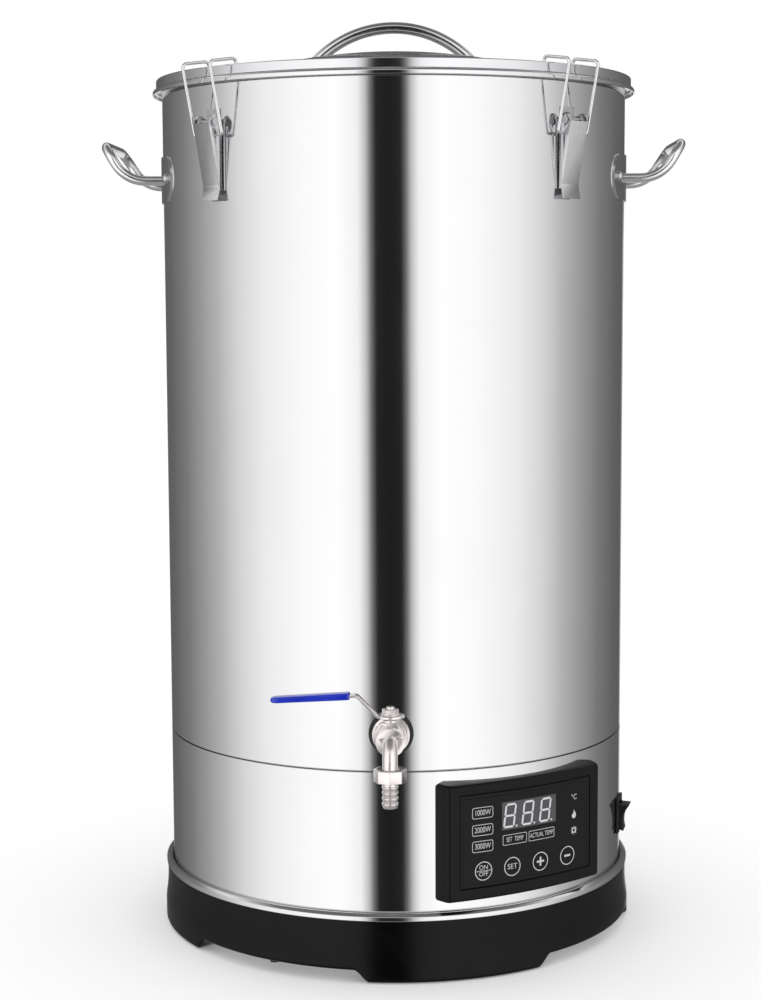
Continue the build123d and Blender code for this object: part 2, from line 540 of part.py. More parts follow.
# ---- lid latches --------------------------------------------------------------------------
EAR_X = (6.4, 7.6)
FLANGE_X = (9.0, 10.1)
LEVER_R = 2.0  # lever pin's radius
LEVER_HEAD = 6.0  # round head of a lever's flange
HOOK_OUT = 191.0  # the bail's crossbar lies here, in the lid's gutter
HOOK_Z = GUTTER_Z + CLEAR + BAIL_WIRE
BAIL_HALF = 17.3


def both_sides(piece):
    """The piece and its mirror image across the latch's middle."""
    return piece + mirror(piece, Plane.YZ)


def latch_bracket():
    """Plate spot-welded to the wall, with two ears that carry the lever's pin."""
    n, z = LEVER_PIN
    plate = hoop(WALL_R + 1.2, WALL_R, (674, 702)) & block((-7.6, 7.6), (190, 210), (670, 705))
    ears = both_sides(side_plate([(WALL_R + 0.6, z - 7), (n + 3, z - 3.8), (n + 4, z - 2), (n + 4, z + 2),
                                  (n + 2.5, z + 3.8), (n - 1, z + 3.8), (WALL_R + 0.6, z + 1.5)], EAR_X))
    return plate + ears - rod_across(LEVER_R, (-20, 20), n, z)


def latch_pin():
    """Rivet through ears and lever, with a low head on each end."""
    n, z = LEVER_PIN
    pin = rod_across(LEVER_R, (-FLANGE_X[1] - 0.4, FLANGE_X[1] + 0.4), n, z)
    heads = both_sides(rod_across(3.2, (FLANGE_X[1] + 0.2, FLANGE_X[1] + 1.2), n, z))
    return pin + heads


def latch_lever():
    """Pressed channel: a sloping face down to a turned-out finger lip, flanges with round heads at the pin."""
    n, z = LEVER_PIN
    foot, top, lip = 640.0, z - 1.0, 629.0
    near = WALL_R + 0.7
    face_top, face_foot = n + 6.2, WALL_R + 4.0
    flange = side_plate([(near, foot - 3), (near, z), (n, z), (face_top - 0.6, z), (face_top - 0.6, top),
                         (face_foot, foot), (face_foot - 1.2, foot - 3)], FLANGE_X)
    flange += rod_across(LEVER_HEAD, FLANGE_X, n, z)
    line = FilletPolyline((0.6 - face_top, top), (0.6 - face_foot, foot), (-face_foot - 1.4, lip), radius=[8])
    strip = extrude(Plane.YZ.offset(-FLANGE_X[1]) * trace(line, 1.2), amount=2 * FLANGE_X[1])
    lever = both_sides(flange) + strip
    lever -= rod_across(LEVER_R + RUNNING, (-20, 20), n, z)
    return lever - rod_across(BAIL_WIRE + RUNNING, (-20, 20), BAIL_PIN[0], BAIL_PIN[1])


def latch_bail():
    """Wire bail: ends turned in through the lever's flanges, top hooked in over the lid's rim."""
    n, z = BAIL_PIN
    start = FLANGE_X[0] - 0.9
    half = [(start, -n, z), (BAIL_HALF, -n, z), (BAIL_HALF, -218.2, 737.6), (BAIL_HALF, -HOOK_OUT, 741.6),
            (BAIL_HALF, -HOOK_OUT, HOOK_Z)]
    other = [(-x, y, h) for x, y, h in reversed(half)]
    return bent_rod(BAIL_WIRE, half + other, [3, 4, 3.2, 3, 3, 3.2, 4, 3])


save("latch_brackets", *around(latch_bracket(), LATCH_AZ.values()))
save("latch_pins", *around(latch_pin(), LATCH_AZ.values()))
lever, bail = latch_lever(), latch_bail()
for place, az in LATCH_AZ.items():
    save(f"latch_lever_{place}", Rot(0, 0, az) * lever)
    save(f"latch_bail_{place}", Rot(0, 0, az) * bail)
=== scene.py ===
"""Looks of an electric all-in-one brewer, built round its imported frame, in the order it goes together.

Sizes are in millimetres in the frame's own axes: +Z up, -Y the front, angles about the kettle's
axis counted from the front towards +X. A finished mesh is scaled to metres as it is made.
"""

import json
from math import radians

import bmesh
import bpy
import numpy as np
from mathutils import Matrix, Vector


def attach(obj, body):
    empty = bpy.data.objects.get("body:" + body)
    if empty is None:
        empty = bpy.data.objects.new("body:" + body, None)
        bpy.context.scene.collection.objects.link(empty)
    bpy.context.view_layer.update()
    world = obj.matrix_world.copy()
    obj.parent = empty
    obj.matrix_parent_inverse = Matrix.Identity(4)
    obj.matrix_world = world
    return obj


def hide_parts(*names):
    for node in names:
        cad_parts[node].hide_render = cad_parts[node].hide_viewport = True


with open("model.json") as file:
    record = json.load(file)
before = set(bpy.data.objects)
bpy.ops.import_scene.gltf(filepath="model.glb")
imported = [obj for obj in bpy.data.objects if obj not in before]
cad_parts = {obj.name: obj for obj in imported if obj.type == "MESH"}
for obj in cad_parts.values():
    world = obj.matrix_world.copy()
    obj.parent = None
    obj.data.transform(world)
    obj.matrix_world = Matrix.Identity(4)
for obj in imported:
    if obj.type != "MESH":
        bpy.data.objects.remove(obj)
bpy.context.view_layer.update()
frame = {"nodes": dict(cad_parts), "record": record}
nodes = frame["nodes"]
body_of = {node: body for body, held in frame["record"]["behaviour"]["bodies"].items() for node in held}

# ---- Studio -------------------------------------------------------------------------------------
# A pale floor in a white room. The shiny steel mirrors a softer room of its own: two tall white
# screens left and right of the camera with a dark gap between them, greyer further round, and dark
# overhead. Light that isn't mirrored comes evenly from all sides.
scene = bpy.context.scene
scene.view_settings.view_transform = "Standard"
scene.world = bpy.data.worlds.new("studio")
scene.world.use_nodes = True
tree = scene.world.node_tree
tree.nodes.clear()


def node(kind, links=(), **settings):
    """Adds a shader node to the tree in hand, with its settings and its inputs (sources or values)."""
    made = tree.nodes.new(kind)
    for key, value in settings.items():
        setattr(made, key, value)
    for socket, source in links:
        if isinstance(source, bpy.types.NodeSocket):
            tree.links.new(source, made.inputs[socket])
        else:
            made.inputs[socket].default_value = source
    return made


def sums(operation, *values):
    """A Math node's output."""
    return node("ShaderNodeMath", list(enumerate(values)), operation=operation).outputs[0]


def ramp(source, stops):
    """A colour ramp's output, from (position, grey or colour) stops."""
    made = node("ShaderNodeValToRGB", [(0, source)])
    while len(made.color_ramp.elements) < len(stops):
        made.color_ramp.elements.new(0.5)
    for element, (place, tone) in zip(made.color_ramp.elements, stops):
        element.position = place
        element.color = (*((tone,) * 3 if isinstance(tone, (int, float)) else tone), 1)
    return made.outputs[0]


def mixed(amount, first, second):
    """A colour between two, by an amount."""
    made = node("ShaderNodeMix", [(0, amount)], data_type="RGBA")
    for socket, source in ((6, first), (7, second)):
        if isinstance(source, bpy.types.NodeSocket):
            tree.links.new(source, made.inputs[socket])
        else:
            made.inputs[socket].default_value = (*source, 1)
    return made.outputs[2]


SCREENS_TURN = 1.5  # degrees that the dark gap lies off the camera's side
SCREEN_TONES = [(0.0, 0.012), (0.034, 0.016), (0.048, 0.16), (0.060, 0.5), (0.082, 0.88), (0.14, 1.0),
                (0.24, 0.95), (0.35, 0.84), (0.44, 0.66), (0.52, 0.44), (0.60, 0.30), (0.69, 0.18),
                (0.80, 0.11), (0.91, 0.08)]
BACK_STRIP = [(0.0, 0.0), (0.90, 0.0), (0.95, 0.45), (1.0, 0.6)]
direction = node("ShaderNodeSeparateXYZ", [(0, node("ShaderNodeNewGeometry").outputs["Incoming"])])
turn = sums("ARCTAN2", sums("MULTIPLY", direction.outputs[0], -1), direction.outputs[1])
round_share = sums("DIVIDE", sums("ABSOLUTE", sums("ADD", turn, radians(SCREENS_TURN))), np.pi)
rise = sums("MULTIPLY", direction.outputs[2], -1)
low = ramp(rise, [(0.0, 1), (0.017, 1), (0.052, 0), (1.0, 0)])
strip = node("ShaderNodeMix", [(0, low), (6, (0, 0, 0, 1)), (7, ramp(round_share, BACK_STRIP))],
             data_type="RGBA")
screens = node("ShaderNodeMix", [(0, 1.0), (6, ramp(round_share, SCREEN_TONES)), (7, strip.outputs[2])],
               data_type="RGBA", blend_type="ADD")
overhead = mixed(ramp(rise, [(0.0, 0), (0.5, 0), (0.64, 1), (1.0, 1)]), screens.outputs[2],
                 ramp(rise, [(0.0, 0.8), (0.68, 0.7), (0.82, 0.14), (1.0, 0.12)]))
room = mixed(ramp(sums("MULTIPLY", rise, -1), [(0.0, 0), (0.4, 0), (0.7, 1), (1.0, 1)]), overhead,
             (0.25,) * 3)
path = node("ShaderNodeLightPath")
seen = mixed(path.outputs["Is Glossy Ray"], (1, 1, 1), room)
strength = sums("ADD", sums("ADD", 1.0, sums("MULTIPLY", path.outputs["Is Glossy Ray"], 0.42)),
                sums("MULTIPLY", path.outputs["Is Diffuse Ray"], 0.04))
light = node("ShaderNodeBackground", [("Color", seen), ("Strength", strength)])
node("ShaderNodeOutputWorld", [("Surface", light.outputs[0])])

FLOOR_REACH = 60.0  # metres
floor_mesh = bpy.data.meshes.new("floor")
floor_corners = [(-FLOOR_REACH, -FLOOR_REACH, 0), (FLOOR_REACH, -FLOOR_REACH, 0),
                 (FLOOR_REACH, FLOOR_REACH, 0), (-FLOOR_REACH, FLOOR_REACH, 0)]
floor_mesh.from_pydata(floor_corners, [], [(0, 1, 2, 3)])
floor = bpy.data.objects.new("floor", floor_mesh)
scene.collection.objects.link(floor)
floor.visible_glossy = False
pale = bpy.data.materials.new("pale_floor")
pale.use_nodes = True
pale_shader = pale.node_tree.nodes["Principled BSDF"]
for label, value in (("Base Color", (0.90, 0.90, 0.90, 1)), ("Roughness", 0.9), ("Specular IOR Level", 0.0),
                     ("Emission Color", (1, 1, 1, 1)), ("Emission Strength", 0.16)):
    pale_shader.inputs[label].default_value = value
floor_mesh.materials.append(pale)

CAMERA_AT = (0.0340, -1.7891, 0.5641)  # metres
CAMERA_TURN, CAMERA_DIP, CAMERA_ROLL = 1.5, 6.166, -0.2725  # degrees
lens = bpy.data.cameras.new("camera")
lens.lens = 72.95
camera = bpy.data.objects.new("camera", lens)
scene.collection.objects.link(camera)
camera.matrix_world = (Matrix.Translation(CAMERA_AT) @ Matrix.Rotation(radians(CAMERA_TURN), 4, "Z")
                       @ Matrix.Rotation(radians(90 - CAMERA_DIP), 4, "X")
                       @ Matrix.Rotation(radians(CAMERA_ROLL), 4, "Z"))
scene.camera = camera

# ---- Kettle wall --------------------------------------------------------------------------------
# One stainless sheet, mirror-polished outside, rolled round and welded down the back, its top edge
# rolled out into the lip the lid sits on. Its foot is stepped in, so that the skirt slips over it.
WALL_R = 200.0
SEAM_Z = 173.0
LIP_Z = 727.0
LIP_R = 208.0
MM = 0.001
MERGE = 2e-7  # metres: points closer than this are one
CREASE = 38  # degrees: edges bent more than this are sharp


def rounded(corners, radii, steps=6, hold=0.35):
    """A line through corners, each inner one turned on its own radius.

    The arc's centre lies on the corner's bisector, and its points are the first radius vector turned
    evenly into the second. A point just past each end of an arc keeps long flats flat when shaded.
    """
    corners = np.array(corners, float)
    line = [corners[:1]]
    for before, corner, after, radius in zip(corners, corners[1:], corners[2:], radii):
        to_before, to_after = before - corner, after - corner
        room_before, room_after = np.linalg.norm(to_before), np.linalg.norm(to_after)
        to_before, to_after = to_before / room_before, to_after / room_after
        half = np.arccos(np.clip(to_before @ to_after, -1, 1)) / 2
        if radius <= 0 or half > 1.56:
            line.append(corner[None])
            continue
        reach = radius / np.tan(half)
        bisector = (to_before + to_after) / np.linalg.norm(to_before + to_after)
        centre = corner + bisector * radius / np.sin(half)
        first, last = corner + to_before * reach - centre, corner + to_after * reach - centre
        sweep = np.pi - 2 * half
        share = np.linspace(0, 1, steps + 1)[:, None]
        arc = centre + (np.sin((1 - share) * sweep) * first + np.sin(share * sweep) * last) / np.sin(sweep)
        if room_before > 2 * (reach + hold):
            line.append((corner + to_before * (reach + hold))[None])
        line.append(arc)
        if room_after > 2 * (reach + hold):
            line.append((corner + to_after * (reach + hold))[None])
    line.append(corners[-1:])
    return np.concatenate(line)


def grid_faces(rows, columns, wrap_rows=False, wrap_columns=False):
    """Corner numbers of every square in a grid of points, joined round at its ends where asked."""
    row = np.arange(rows if wrap_rows else rows - 1)[:, None]
    column = np.arange(columns if wrap_columns else columns - 1)[None, :]
    next_row, next_column = (row + 1) % rows, (column + 1) % columns
    corners = [row * columns + column, next_row * columns + column,
               next_row * columns + next_column, row * columns + next_column]
    return np.stack([np.broadcast_to(c, (row.size, column.size)) for c in corners], -1).reshape(-1, 4)


def made_piece(name, points, faces, finish, like, crease=CREASE):
    """Puts a mesh in the place of a node of the frame: on its body, and the node hidden."""
    mesh = bpy.data.meshes.new(name)
    mesh.from_pydata((np.asarray(points).reshape(-1, 3) * MM).tolist(), [], np.asarray(faces).tolist())
    shape = bmesh.new()
    shape.from_mesh(mesh)
    bmesh.ops.remove_doubles(shape, verts=shape.verts, dist=MERGE)
    bmesh.ops.recalc_face_normals(shape, faces=shape.faces)
    shape.to_mesh(mesh)
    shape.free()
    mesh.shade_smooth()
    mesh.set_sharp_from_angle(angle=radians(crease))
    mesh.materials.append(finish)
    piece = bpy.data.objects.new(name, mesh)
    scene.collection.objects.link(piece)
    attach(piece, body_of[like])
    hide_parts(like)
    return piece


def turned_ring(name, outline, finish, like, facets=360):
    """A closed (radius, height) outline carried round the upright axis, in place of the node it is like."""
    angle = np.linspace(0, 2 * np.pi, facets, endpoint=False)[:, None]
    radius, height = outline[None, :, 0], outline[None, :, 1]
    points = np.stack([radius * np.sin(angle), -radius * np.cos(angle), height + 0 * angle], -1)
    return made_piece(name, points, grid_faces(facets, len(outline), True, True), finish, like)


def open_group(name, inputs, outputs):
    """Starts a shader node group with named number or vector inputs and number outputs."""
    global tree
    tree = bpy.data.node_groups.new(name, "ShaderNodeTree")
    for label, value in inputs.items():
        kind = "NodeSocketVector" if isinstance(value, tuple) else "NodeSocketFloat"
        tree.interface.new_socket(label, in_out="INPUT", socket_type=kind).default_value = value
    for label in outputs:
        tree.interface.new_socket(label, in_out="OUTPUT", socket_type="NodeSocketFloat")
    return tree.nodes.new("NodeGroupInput").outputs, tree.nodes.new("NodeGroupOutput").inputs


def close_group(sockets, **results):
    """Joins a group's results to its outputs, and returns the group."""
    for label, source in results.items():
        tree.links.new(source, sockets[label])
    return tree


def open_finish(name, **values):
    """Starts a material and returns it with its shader; values are set on the shader's own sockets."""
    global tree
    made = bpy.data.materials.new(name)
    made.use_nodes = True
    tree = made.node_tree
    shader = tree.nodes["Principled BSDF"]
    for label, value in values.items():
        shader.inputs[label.replace("_", " ")].default_value = value
    return made, shader


def bump(height, depth_mm):
    """A full-strength bump's normal, its depth given in millimetres."""
    return node("ShaderNodeBump", [("Height", height), ("Distance", depth_mm * MM),
                                   ("Strength", 1.0)]).outputs[0]


# Rolled sheet: fine lines left by the rolls and the polishing belt, and faint hazy marks from handling.
ROLL_LINES = (30.0, 30.0, 4000.0)
given, wanted = open_group("rolled_sheet", {"Line Scale": ROLL_LINES, "Haze Scale": 7.0},
                           ["Tone", "Haze", "Height"])
place = node("ShaderNodeTexCoord").outputs["Object"]
stretched = node("ShaderNodeVectorMath", [(0, place), (1, given["Line Scale"])],
                 operation="MULTIPLY").outputs[0]
lines = node("ShaderNodeTexNoise", [("Vector", stretched), ("Scale", 1.0), ("Detail", 3.0),
                                    ("Roughness", 0.65)]).outputs["Fac"]
cloud = node("ShaderNodeTexNoise", [("Vector", place), ("Scale", given["Haze Scale"]), ("Detail", 4.0),
                                    ("Roughness", 0.6), ("Distortion", 0.6)]).outputs["Fac"]
haze = node("ShaderNodeMapRange", [(0, cloud), (1, 0.42), (2, 0.78)],
            interpolation_type="SMOOTHSTEP").outputs[0]
tone = sums("ADD", sums("MULTIPLY", lines, 0.45), sums("MULTIPLY", cloud, 0.55))
rolled_sheet = close_group(wanted, Tone=tone, Haze=haze, Height=lines)


def sheet_finish(name, dark, bright, smooth, hazy, depth, line_scale=ROLL_LINES, haze_scale=7.0,
                 weld=False):
    """Polished or brushed sheet: colour and gloss vary with the roll lines and the haze of handling."""
    made, shader = open_finish(name, Metallic=1.0)
    marks = node("ShaderNodeGroup", [], node_tree=rolled_sheet)
    marks.inputs["Line Scale"].default_value = line_scale
    marks.inputs["Haze Scale"].default_value = haze_scale
    color = ramp(marks.outputs["Tone"], [(0.3, dark), (0.7, bright)])
    rough = node("ShaderNodeMapRange", [(0, marks.outputs["Haze"]), (3, smooth), (4, hazy)]).outputs[0]
    height = marks.outputs["Height"]
    if weld:
        where = node("ShaderNodeSeparateXYZ", [(0, node("ShaderNodeTexCoord").outputs["Object"])]).outputs
        near = node("ShaderNodeMapRange", [(0, sums("ABSOLUTE", where[0])), (1, 0.0012), (2, 0.0028),
                                           (3, 1.0), (4, 0.0)], interpolation_type="SMOOTHSTEP").outputs[0]
        bead = sums("MULTIPLY", near, sums("GREATER_THAN", where[1], 0.1))
        color = mixed(sums("MULTIPLY", bead, 0.5), color, (0.38, 0.37, 0.36))
        rough = sums("ADD", rough, sums("MULTIPLY", bead, 0.22))
    tree.links.new(color, shader.inputs["Base Color"])
    tree.links.new(rough, shader.inputs["Roughness"])
    tree.links.new(bump(height, depth), shader.inputs["Normal"])
    return made


mirror_wall = sheet_finish("mirror_wall", (0.69, 0.69, 0.70), (0.72, 0.72, 0.73), 0.055, 0.085, 0.00006,
                           weld=True)
wall_outline = rounded(
    [(198.7, 161), (198.7, SEAM_Z - 0.2), (WALL_R, SEAM_Z + 1.2), (WALL_R, LIP_Z - 1),
     (LIP_R - 1, LIP_Z - 1), (LIP_R - 1, LIP_Z - 4.3), (LIP_R, LIP_Z - 4.3), (LIP_R, LIP_Z),
     (WALL_R - 1, LIP_Z), (WALL_R - 1, SEAM_Z + 1.6), (WALL_R - 2.3, SEAM_Z + 0.3), (WALL_R - 2.3, 161)],
    [0.5, 0.7, 1.7, 1.1, 0.3, 0.3, 2.1, 2.7, 0.6, 0.6])
turned_ring("kettle_wall", wall_outline, mirror_wall, "vessel_shell")

# ---- Kettle floor and heating -------------------------------------------------------------------
# A satin stainless floor welded inside the wall. Under it an aluminium plate spreads the heat of two
# bent heating tubes, with a probe and a cutout clamped to it, and a galvanised shield below them.


def finish_nodes(finish, *names):
    """Gives nodes of the frame a finish."""
    for name in names:
        for held in nodes[name].material_slots:
            held.material = finish


satin_sheet = sheet_finish("satin_sheet", (0.52, 0.52, 0.53), (0.66, 0.66, 0.67), 0.2, 0.32, 0.004,
                           (1800.0, 60.0, 60.0), 12.0)
finish_nodes(satin_sheet, "vessel_floor")

# Fine grain: the even pitting of a blasted casting, a spark-eroded mould or bare rubber.
given, wanted = open_group("fine_grain", {"Grain Scale": 2500.0, "Patch Scale": 60.0},
                           ["Tone", "Patch", "Height"])
place = node("ShaderNodeTexCoord").outputs["Object"]
grain = node("ShaderNodeTexNoise", [("Vector", place), ("Scale", given["Grain Scale"]), ("Detail", 2.0),
                                    ("Roughness", 0.7)]).outputs["Fac"]
patch = node("ShaderNodeTexNoise", [("Vector", place), ("Scale", given["Patch Scale"]), ("Detail", 4.0),
                                    ("Roughness", 0.6)]).outputs["Fac"]
tone = sums("ADD", sums("MULTIPLY", grain, 0.4), sums("MULTIPLY", patch, 0.6))
fine_grain = close_group(wanted, Tone=tone, Patch=patch, Height=grain)

# Scuffs: thin wandering scratches in patches, as tools, sleeves and cloths leave them.
given, wanted = open_group("scuffs", {"Scuff Scale": 90.0, "Width": 0.006, "Spread": 0.55}, ["Mask"])
place = node("ShaderNodeTexCoord").outputs["Object"]
wander = node("ShaderNodeTexNoise", [("Vector", place), ("Scale", given["Scuff Scale"]), ("Detail", 1.0),
                                     ("Distortion", 2.2)]).outputs["Fac"]
thin = node("ShaderNodeMapRange", [(0, sums("ABSOLUTE", sums("SUBTRACT", wander, 0.5))), (1, 0.0),
                                   (2, given["Width"]), (3, 1.0), (4, 0.0)]).outputs[0]
areas = node("ShaderNodeTexNoise", [("Vector", place), ("Scale", 24.0), ("Detail", 2.0)]).outputs["Fac"]
mask = sums("MULTIPLY", thin, sums("GREATER_THAN", areas, given["Spread"]))
scuffs = close_group(wanted, Mask=mask)


def grained_finish(name, dark, bright, smooth, dull, depth, grain_scale=2500.0, patch_scale=60.0, scuff=0.0,
                   scuff_color=(0.3, 0.3, 0.3), bare=None, **values):
    """A cast, moulded or drawn surface: fine grain, patchy gloss, and scuffs where it is handled."""
    made, shader = open_finish(name, **values)
    marks = node("ShaderNodeGroup", [], node_tree=fine_grain)
    marks.inputs["Grain Scale"].default_value = grain_scale
    marks.inputs["Patch Scale"].default_value = patch_scale
    color = ramp(marks.outputs["Tone"], [(0.3, dark), (0.7, bright)])
    rough = node("ShaderNodeMapRange", [(0, marks.outputs["Patch"]), (1, 0.3), (2, 0.7), (3, smooth),
                                        (4, dull)]).outputs[0]
    if scuff:
        lines = node("ShaderNodeGroup", [], node_tree=scuffs).outputs["Mask"]
        amount = sums("MULTIPLY", lines, scuff)
        color = mixed(amount, color, scuff_color)
        rough = sums("ADD", rough, sums("MULTIPLY", amount, 0.25))
    tree.links.new(color, shader.inputs["Base Color"])
    tree.links.new(rough, shader.inputs["Roughness"])
    tree.links.new(bump(marks.outputs["Height"], depth), shader.inputs["Normal"])
    return made


spreader = grained_finish("spreader_plate", (0.62, 0.62, 0.63), (0.78, 0.78, 0.79), 0.3, 0.45, 0.01, 1200.0,
                          Metallic=1.0)
finish_nodes(spreader, "heat_spreader_plate", "heat_sink")
tinted_tube = grained_finish("tinted_tube", (0.22, 0.19, 0.20), (0.52, 0.46, 0.40), 0.32, 0.5, 0.006,
                             1500.0, 22.0, Metallic=1.0)
finish_nodes(tinted_tube, "heating_element_inner", "heating_element_outer", "temperature_probe")

galvanised, shader = open_finish("galvanised_sheet", Metallic=1.0)
spangle = node("ShaderNodeTexVoronoi", [("Vector", node("ShaderNodeTexCoord").outputs["Object"]),
                                        ("Scale", 160.0)]).outputs["Color"]
shade = node("ShaderNodeSeparateXYZ", [(0, spangle)]).outputs[0]
zinc = ramp(shade, [(0.0, (0.45, 0.46, 0.48)), (1.0, (0.68, 0.69, 0.71))])
tree.links.new(zinc, shader.inputs["Base Color"])
dull = node("ShaderNodeMapRange", [(0, shade), (3, 0.3), (4, 0.5)]).outputs[0]
tree.links.new(dull, shader.inputs["Roughness"])
finish_nodes(galvanised, "heat_shield", "base_cover_plate")

component = grained_finish("component_moulding", (0.03, 0.03, 0.03), (0.055, 0.055, 0.055), 0.4, 0.55,
                           0.01)
finish_nodes(component, "thermal_cutout", "display_module", "terminal_block")
board, shader = open_finish("circuit_board", Coat_Weight=0.3, Roughness=0.4)
place = node("ShaderNodeTexCoord").outputs["Object"]
tracks = node("ShaderNodeTexBrick", [("Vector", place), ("Scale", 260.0), ("Color1", (0.012, 0.10, 0.035, 1)),
                                     ("Color2", (0.018, 0.13, 0.05, 1)),
                                     ("Mortar", (0.03, 0.19, 0.08, 1))]).outputs["Color"]
tree.links.new(tracks, shader.inputs["Base Color"])
finish_nodes(board, "control_board", "power_board")

# ---- Skirt and its bead -------------------------------------------------------------------------
# A second mirror-polished sleeve below the kettle hides the heaters and carries the panel. A pressed
# bead of the same steel runs round its foot and covers the joint with the base.
BASE_TOP = 51.5
SKIRT_FOOT = 37.5
SKIRT_IN = WALL_R - 1
SWITCH_AZ = 78
INLET_AZ = 180
skirt_outline = rounded([(SKIRT_IN, BASE_TOP), (SKIRT_IN, SEAM_Z - 0.35), (WALL_R, SEAM_Z - 0.35),
                         (WALL_R, SKIRT_FOOT), (SKIRT_IN, SKIRT_FOOT), (SKIRT_IN, BASE_TOP)],
                        [0.25, 0.4, 0.2, 0.2])
skirt = turned_ring("skirt", skirt_outline, mirror_wall, "lower_skirt")


def cut_window(piece, turn, half_turn, low, high, cover=1.5):
    """Opens a turned sheet between two heights and over whole facets, and closes the cut's sides.

    The ring is also cut level a little above and below the opening, which keeps the shading of the
    cut's corners under the moulding that covers them.
    """
    shape = bmesh.new()
    shape.from_mesh(piece.data)
    for height in (low - cover, low, high, high + cover):
        bmesh.ops.bisect_plane(shape, geom=[*shape.verts, *shape.edges, *shape.faces], dist=1e-7,
                               plane_co=(0, 0, height * MM), plane_no=(0, 0, 1))
    toward = Vector((np.sin(radians(turn)), -np.cos(radians(turn)), 0))
    middles = [(face, face.calc_center_median()) for face in shape.faces]
    opened = [face for face, middle in middles
              if low * MM < middle.z < high * MM
              and toward.dot(Vector((*middle.xy, 0)).normalized()) > np.cos(radians(half_turn))]
    bmesh.ops.delete(shape, geom=opened, context="FACES")
    bmesh.ops.bridge_loops(shape, edges=[edge for edge in shape.edges if edge.is_boundary])
    bmesh.ops.recalc_face_normals(shape, faces=shape.faces)
    shape.to_mesh(piece.data)
    shape.free()
    piece.data.shade_smooth()
    piece.data.set_sharp_from_angle(angle=radians(CREASE))


cut_window(skirt, INLET_AZ, 5, 85.8, 110.2)
cut_window(skirt, SWITCH_AZ, 3, 83.8, 112.2)
bead_finish = sheet_finish("bead_steel", (0.66, 0.66, 0.67), (0.72, 0.72, 0.73), 0.09, 0.15, 0.0003)
bead_outline = rounded([(WALL_R + 1, BASE_TOP), (206.2, BASE_TOP), (206.2, BASE_TOP + 3.6),
                        (203.6, BASE_TOP + 6.1), (201.2, BASE_TOP + 5.7), (WALL_R, BASE_TOP + 3.9),
                        (WALL_R, BASE_TOP), (WALL_R + 1, BASE_TOP)], [0.7, 1.6, 1.3, 0.5, 0, 0])
turned_ring("skirt_bead", bead_outline, bead_finish, "skirt_bead_ring")

# ---- Base ---------------------------------------------------------------------------------------
# A glossy black moulding with a slightly waisted side. Between its four wide feet the lower edge is
# raised, and each foot ends in a slope. A rubber pad is set into each foot, a sheet cover below.
FOOT_GAP = 10.2
FOOT_Z = 0.5  # the rubber pads stand this far out of the feet
FOOT_HALF = (71.5, 84.0)  # where a foot's sloping end starts and ends, across from its middle
FOOT_AZ = 15.3
SIDE_Z, SIDE_R = [BASE_TOP, 38, 20], [205.6, 205.3, 207.2]  # the side at its top, waist and foot
UNDER_R = 203.9  # where the side has turned in underneath
TURN_IN = (3.3, 3.2)  # that turn's size, across and up
base_black = grained_finish("base_moulding", (0.0015, 0.0015, 0.002), (0.0035, 0.0035, 0.004), 0.10, 0.2,
                            0.0006, 1800.0, 14.0, 0.2, (0.03, 0.03, 0.03), Specular_IOR_Level=0.14)


def base_ring(facets=1440):
    """The moulding's side carried round the axis: its lower edge is a foot's height, or the raised one.

    Past a foot's half width the edge rises along a smoothstep, share * share * (3 - 2 * share). The
    side's radius is the parabola through its top, its waist and its foot, then turns in underneath.
    """
    angle = np.linspace(0, 2 * np.pi, facets, endpoint=False)
    from_foot = (angle - np.radians(FOOT_AZ) + np.pi / 4) % (np.pi / 2) - np.pi / 4
    across = np.abs(206 * np.sin(from_foot))
    share = np.clip((across - FOOT_HALF[0]) / (FOOT_HALF[1] - FOOT_HALF[0]), 0, 1)
    edge = (FOOT_Z + (FOOT_GAP - FOOT_Z) * share * share * (3 - 2 * share))[:, None]
    share = np.linspace(0, 1, 14)[None, :]
    height = BASE_TOP - 0.5 + (edge + TURN_IN[1] - BASE_TOP + 0.5) * share
    side = np.polyval(np.polyfit(SIDE_Z, SIDE_R, 2), np.maximum(height, SIDE_Z[-1]))
    turn_in = np.linspace(0, np.pi / 2, 7)[None, 1:]
    under = UNDER_R + TURN_IN[0] * np.cos(turn_in) + 0 * edge
    under_z = edge + TURN_IN[1] * (1 - np.sin(turn_in))
    inside = np.array([(192.4, 0), (192, 0.4), (192, BASE_TOP - 15), (WALL_R, BASE_TOP - 15),
                       (WALL_R, BASE_TOP), (205.1, BASE_TOP), (205.45, BASE_TOP - 0.15)])
    inner = np.broadcast_to(inside[:, 0], (facets, len(inside)))
    inner_z = np.broadcast_to(inside[:, 1], (facets, len(inside))) + np.where(inside[:, 1] < 1, edge, 0)
    radius, height = np.hstack([side, under, inner]), np.hstack([height, under_z, inner_z])
    points = np.stack([radius * np.sin(angle)[:, None], -radius * np.cos(angle)[:, None], height], -1)
    return made_piece("base_moulding_side", points, grid_faces(*radius.shape, True, True), base_black,
                      "base_moulding")


base_ring()
black_rubber = grained_finish("black_rubber", (0.012, 0.012, 0.012), (0.03, 0.03, 0.03), 0.5, 0.7, 0.02,
                              1500.0, scuff=0.3)
finish_nodes(black_rubber, "rubber_feet", "tap_washer")
black_zinc = grained_finish("black_zinc", (0.03, 0.03, 0.03), (0.06, 0.06, 0.06), 0.3, 0.5, 0.004,
                            Metallic=1.0)
finish_nodes(black_zinc, "screws")

# ---- Control panel ------------------------------------------------------------------------------
# A black moulded frame, bowed less than the skirt behind it, with rounded outer edges. A smoked
# window is let into it, printed from behind with pale legends, over a three-figure display.
PANEL_AZ = 33.2
FACE_OUT = 206.0
FACE_R = 400.0
FRAME_HALF = (78.5, 48.25)
FRAME_Z = 114.75
WINDOW_Z = 115.5
WINDOW_SET_BACK = 1.1


